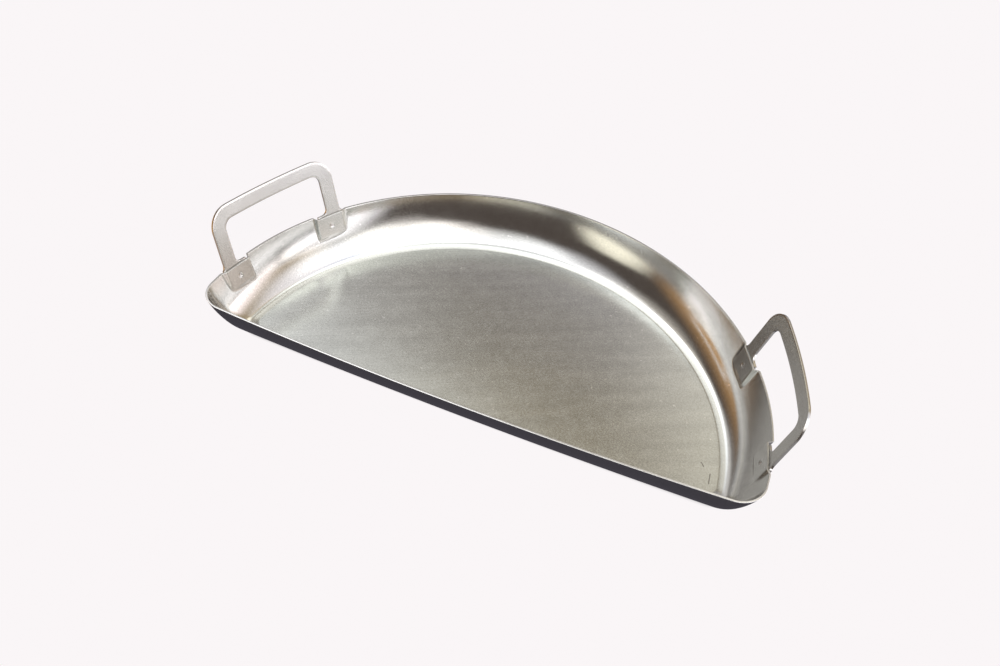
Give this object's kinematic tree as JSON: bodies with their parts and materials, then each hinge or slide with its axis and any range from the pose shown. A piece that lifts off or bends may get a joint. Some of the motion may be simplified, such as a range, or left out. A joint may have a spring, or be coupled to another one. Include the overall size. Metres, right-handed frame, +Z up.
{
  "type": "half-moon pan",
  "caption": "Half-moon cooking pan pressed from sheet steel, with rounded walls and a flat-strap loop handle at each end of its curved wall.",
  "frame": {"origin": "on the ground under the centre of the pan's bounding box", "axes": "+X along the straight front wall towards the right-hand handle, +Y from the front wall towards the back of the curved wall, +Z up out of the pan"},
  "size_m": [0.48, 0.2571, 0.0917],
  "materials": {
    "body_steel": "satin, fine rolled grain with light handling marks",
    "handle_steel": "satin, fine grain along the strap",
    "weld_steel": "slightly darker, dimpled by the welding tip"
  },
  "bodies": {
    "root": {"pan_body": "body_steel", "handle_left": "handle_steel", "handle_right": "handle_steel", "weld_left_front": "weld_steel", "weld_left_back": "weld_steel", "weld_right_front": "weld_steel", "weld_right_back": "weld_steel"}
  },
  "joints": []
}
